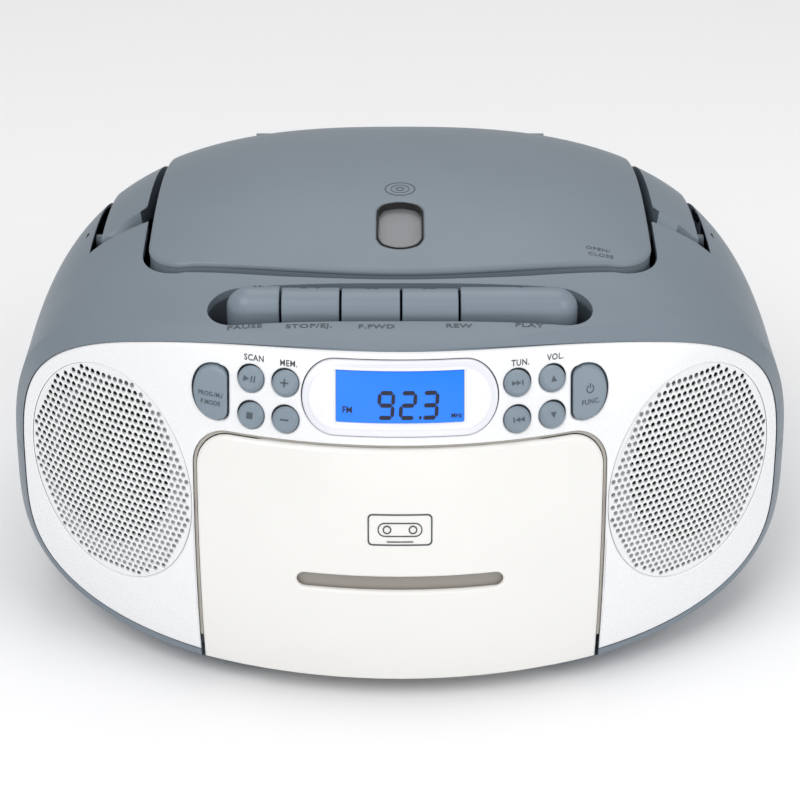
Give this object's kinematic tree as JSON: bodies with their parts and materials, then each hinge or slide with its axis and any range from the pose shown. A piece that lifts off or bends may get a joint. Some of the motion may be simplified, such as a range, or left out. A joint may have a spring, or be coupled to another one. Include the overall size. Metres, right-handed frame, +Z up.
{
  "type": "cassette player",
  "caption": "Portable egg-shaped CD, radio and cassette player with bowed white front, perforated speaker grilles, tape door, piano keys, domed disc lid and fold-back handle.",
  "frame": {"origin": "on the table, under the middle of the case's bounding box", "axes": "+X to the right seen from the front, +Y to the back, +Z up; the front faces -Y"},
  "size_m": [0.283, 0.2352, 0.1501],
  "materials": {
    "blue_grey_shell": "satin moulded cabinet plastic, very fine texture",
    "blue_grey_tray": "satin moulded plastic",
    "blue_grey_keys": "smooth moulded keys",
    "blue_grey_buttons": "smooth moulded buttons",
    "white_front": "glossy moulded front",
    "white_door": "glossy moulded door",
    "white_grille": "perforated moulded grille",
    "smoked_window": "smoked clear plastic",
    "clear_lens": "clear moulded lens",
    "blue_lcd": "backlit display",
    "black_plastic": "moulded",
    "black_rubber": "moulded rubber",
    "paper_cone": "pressed paper cone, stood in by plastic",
    "zinc_steel": "zinc-plated sheet",
    "transformer_steel": "laminated core with winding",
    "turned_brass": "turned",
    "circuit_board": "solder-masked board",
    "chromed_tube": "polished tube"
  },
  "bodies": {
    "case": {"top_cabinet": "blue_grey_shell", "bottom_cabinet": "blue_grey_shell", "front_panel": "white_front", "left_grille": "white_grille", "right_grille": "white_grille", "display_lens": "clear_lens", "lcd_module": "blue_lcd", "control_board": "circuit_board", "left_speaker_basket": "zinc_steel", "right_speaker_basket": "zinc_steel", "cd_well": "blue_grey_tray", "cd_drive_frame": "zinc_steel", "cassette_chassis": "zinc_steel", "tape_motor": "zinc_steel", "drive_belt": "black_rubber", "main_board": "circuit_board", "power_transformer": "transformer_steel", "mains_inlet": "black_plastic", "battery_contacts": "zinc_steel", "foot_front_left": "black_rubber", "foot_front_right": "black_rubber", "foot_rear_left": "black_rubber", "foot_rear_right": "black_rubber", "foot_front_centre": "black_rubber"},
    "tape_door": {"cassette_door": "white_door", "door_window": "smoked_window", "cassette_holder": "black_plastic"},
    "disc_lid": {"cd_lid": "blue_grey_shell", "cd_lid_window": "clear_lens"},
    "disc_clamp": {"disc_clamp": "black_plastic"},
    "turntable": {"cd_turntable": "black_plastic"},
    "laser_sled": {"laser_sled": "black_plastic"},
    "handle": {"carry_handle": "blue_grey_shell"},
    "left_reel": {"left_reel": "black_plastic"},
    "right_reel": {"right_reel": "black_plastic"},
    "flywheel": {"capstan_flywheel": "turned_brass"},
    "motor_pulley": {"motor_pulley": "turned_brass"},
    "head_base": {"head_base": "zinc_steel"},
    "pinch_roller": {"pinch_roller": "black_rubber"},
    "left_cone": {"left_speaker_cone": "paper_cone"},
    "right_cone": {"right_speaker_cone": "paper_cone"},
    "battery_door": {"battery_door": "blue_grey_shell"},
    "antenna_base": {"antenna_base": "black_plastic"},
    "antenna_tube": {"antenna_tube": "chromed_tube"},
    "antenna_rod": {"antenna_rod": "chromed_tube"},
    "pause_key": {"pause_key": "blue_grey_keys"},
    "stop_eject_key": {"stop_eject_key": "blue_grey_keys"},
    "fast_forward_key": {"fast_forward_key": "blue_grey_keys"},
    "rewind_key": {"rewind_key": "blue_grey_keys"},
    "play_key": {"play_key": "blue_grey_keys"},
    "play_pause_button": {"play_pause_button": "blue_grey_buttons"},
    "stop_button": {"stop_button": "blue_grey_buttons"},
    "memory_up_button": {"memory_up_button": "blue_grey_buttons"},
    "memory_down_button": {"memory_down_button": "blue_grey_buttons"},
    "tune_up_button": {"tune_up_button": "blue_grey_buttons"},
    "tune_down_button": {"tune_down_button": "blue_grey_buttons"},
    "volume_up_button": {"volume_up_button": "blue_grey_buttons"},
    "volume_down_button": {"volume_down_button": "blue_grey_buttons"},
    "mode_button": {"mode_button": "blue_grey_buttons"},
    "function_button": {"function_button": "blue_grey_buttons"}
  },
  "joints": [
    {"name": "disc_lid_hinge", "type": "hinge", "parent": "case", "child": "disc_lid", "pos_m": [0, 0.086, 0.1305], "axis": [-1, 0, 0], "range_deg": [0, 62]},
    {"name": "tape_door_hinge", "type": "hinge", "parent": "case", "child": "tape_door", "pos_m": [0, -0.1, 0.0125], "axis": [1, 0, 0], "range_deg": [0, 35]},
    {"name": "handle_hinge", "type": "hinge", "parent": "case", "child": "handle", "pos_m": [0, 0.017, 0.117], "axis": [1, 0, 0], "range_deg": [0, 90]},
    {"name": "pause_key_press", "type": "hinge", "parent": "case", "child": "pause_key", "pos_m": [-0.0506, -0.044, 0.114], "axis": [1, 0, 0], "range_deg": [0, 7], "stiffness_Nm_per_rad": 0.15, "springref_deg": -14.32},
    {"name": "stop_eject_key_press", "type": "hinge", "parent": "case", "child": "stop_eject_key", "pos_m": [-0.0307, -0.044, 0.114], "axis": [1, 0, 0], "range_deg": [0, 7], "stiffness_Nm_per_rad": 0.15, "springref_deg": -14.32},
    {"name": "fast_forward_key_press", "type": "hinge", "parent": "case", "child": "fast_forward_key", "pos_m": [-0.01, -0.044, 0.114], "axis": [1, 0, 0], "range_deg": [0, 7], "stiffness_Nm_per_rad": 0.15, "springref_deg": -14.32},
    {"name": "rewind_key_press", "type": "hinge", "parent": "case", "child": "rewind_key", "pos_m": [0.0104, -0.044, 0.114], "axis": [1, 0, 0], "range_deg": [0, 7], "stiffness_Nm_per_rad": 0.15, "springref_deg": -14.32},
    {"name": "play_key_press", "type": "hinge", "parent": "case", "child": "play_key", "pos_m": [0.041, -0.044, 0.114], "axis": [1, 0, 0], "range_deg": [0, 7], "stiffness_Nm_per_rad": 0.15, "springref_deg": -14.32},
    {"name": "play_pause_button_press", "type": "slide", "parent": "case", "child": "play_pause_button", "axis": [0.2526, 0.8472, -0.4675], "range_m": [0, 0.0008], "stiffness_N_per_m": 300, "springref_m": -0.001},
    {"name": "stop_button_press", "type": "slide", "parent": "case", "child": "stop_button", "axis": [0.262, 0.8789, -0.3987], "range_m": [0, 0.0008], "stiffness_N_per_m": 300, "springref_m": -0.001},
    {"name": "memory_up_button_press", "type": "slide", "parent": "case", "child": "memory_up_button", "axis": [0.1927, 0.8591, -0.4741], "range_m": [0, 0.0008], "stiffness_N_per_m": 300, "springref_m": -0.001},
    {"name": "memory_down_button_press", "type": "slide", "parent": "case", "child": "memory_down_button", "axis": [0.2001, 0.8923, -0.4048], "range_m": [0, 0.0008], "stiffness_N_per_m": 300, "springref_m": -0.001},
    {"name": "tune_up_button_press", "type": "slide", "parent": "case", "child": "tune_up_button", "axis": [-0.1972, 0.8584, -0.4736], "range_m": [0, 0.0008], "stiffness_N_per_m": 300, "springref_m": -0.001},
    {"name": "tune_down_button_press", "type": "slide", "parent": "case", "child": "tune_down_button", "axis": [-0.2048, 0.8914, -0.4044], "range_m": [0, 0.0008], "stiffness_N_per_m": 300, "springref_m": -0.001},
    {"name": "volume_up_button_press", "type": "slide", "parent": "case", "child": "volume_up_button", "axis": [-0.2582, 0.8459, -0.4667], "range_m": [0, 0.0008], "stiffness_N_per_m": 300, "springref_m": -0.001},
    {"name": "volume_down_button_press", "type": "slide", "parent": "case", "child": "volume_down_button", "axis": [-0.2678, 0.8774, -0.398], "range_m": [0, 0.0008], "stiffness_N_per_m": 300, "springref_m": -0.001},
    {"name": "mode_button_press", "type": "slide", "parent": "case", "child": "mode_button", "axis": [0.3335, 0.8413, -0.4255], "range_m": [0, 0.0008], "stiffness_N_per_m": 300, "springref_m": -0.001},
    {"name": "function_button_press", "type": "slide", "parent": "case", "child": "function_button", "axis": [-0.3335, 0.8413, -0.4255], "range_m": [0, 0.0008], "stiffness_N_per_m": 300, "springref_m": -0.001},
    {"name": "turntable_spin", "type": "hinge", "parent": "case", "child": "turntable", "pos_m": [0, 0.02, 0.127], "axis": [0, 0, 1], "continuous": true},
    {"name": "disc_clamp_spin", "type": "hinge", "parent": "disc_lid", "child": "disc_clamp", "pos_m": [0, 0.02, 0.135], "axis": [0, 0, 1], "continuous": true},
    {"name": "laser_sled_travel", "type": "slide", "parent": "case", "child": "laser_sled", "axis": [0, -1, 0], "range_m": [0, 0.021]},
    {"name": "left_reel_spin", "type": "hinge", "parent": "case", "child": "left_reel", "pos_m": [-0.02125, -0.082, 0.0505], "axis": [0, 1, 0], "continuous": true},
    {"name": "right_reel_spin", "type": "hinge", "parent": "case", "child": "right_reel", "pos_m": [0.02125, -0.082, 0.0505], "axis": [0, 1, 0], "continuous": true},
    {"name": "flywheel_spin", "type": "hinge", "parent": "case", "child": "flywheel", "pos_m": [0.029, -0.068, 0.0805], "axis": [0, 1, 0], "continuous": true},
    {"name": "motor_pulley_spin", "type": "hinge", "parent": "case", "child": "motor_pulley", "pos_m": [-0.038, -0.068, 0.078], "axis": [0, 1, 0], "continuous": true},
    {"name": "head_base_travel", "type": "slide", "parent": "case", "child": "head_base", "axis": [0, 0, -1], "range_m": [0, 0.005]},
    {"name": "pinch_roller_spin", "type": "hinge", "parent": "head_base", "child": "pinch_roller", "pos_m": [0.029, -0.09, 0.093], "axis": [0, 1, 0], "continuous": true},
    {"name": "left_cone_travel", "type": "slide", "parent": "case", "child": "left_cone", "axis": [-0.5721, -0.8036, 0.1639], "range_m": [-0.0006, 0.0006], "stiffness_N_per_m": 1500},
    {"name": "right_cone_travel", "type": "slide", "parent": "case", "child": "right_cone", "axis": [0.5721, -0.8036, 0.1639], "range_m": [-0.0006, 0.0006], "stiffness_N_per_m": 1500},
    {"name": "battery_door_hinge", "type": "hinge", "parent": "case", "child": "battery_door", "pos_m": [0, 0.1116, 0.0142], "axis": [-1, 0, 0], "range_deg": [0, 70]},
    {"name": "antenna_swivel", "type": "hinge", "parent": "case", "child": "antenna_base", "pos_m": [-0.098, 0.1066, 0.083], "axis": [1, 0, 0], "range_deg": [0, 35]},
    {"name": "antenna_tilt", "type": "hinge", "parent": "antenna_base", "child": "antenna_tube", "pos_m": [-0.086, 0.1066, 0.083], "axis": [0, 0, 1], "range_deg": [0, 90]},
    {"name": "antenna_extend", "type": "slide", "parent": "antenna_tube", "child": "antenna_rod", "axis": [1, 0, 0], "range_m": [0, 0.14]}
  ],
  "couplings": [
    {"joint": "disc_clamp_spin", "follows": "turntable_spin", "ratio": 1},
    {"joint": "motor_pulley_spin", "follows": "flywheel_spin", "ratio": 3.3333},
    {"joint": "head_base_travel", "follows": "play_key_press", "m_per_rad": 0.040926}
  ]
}
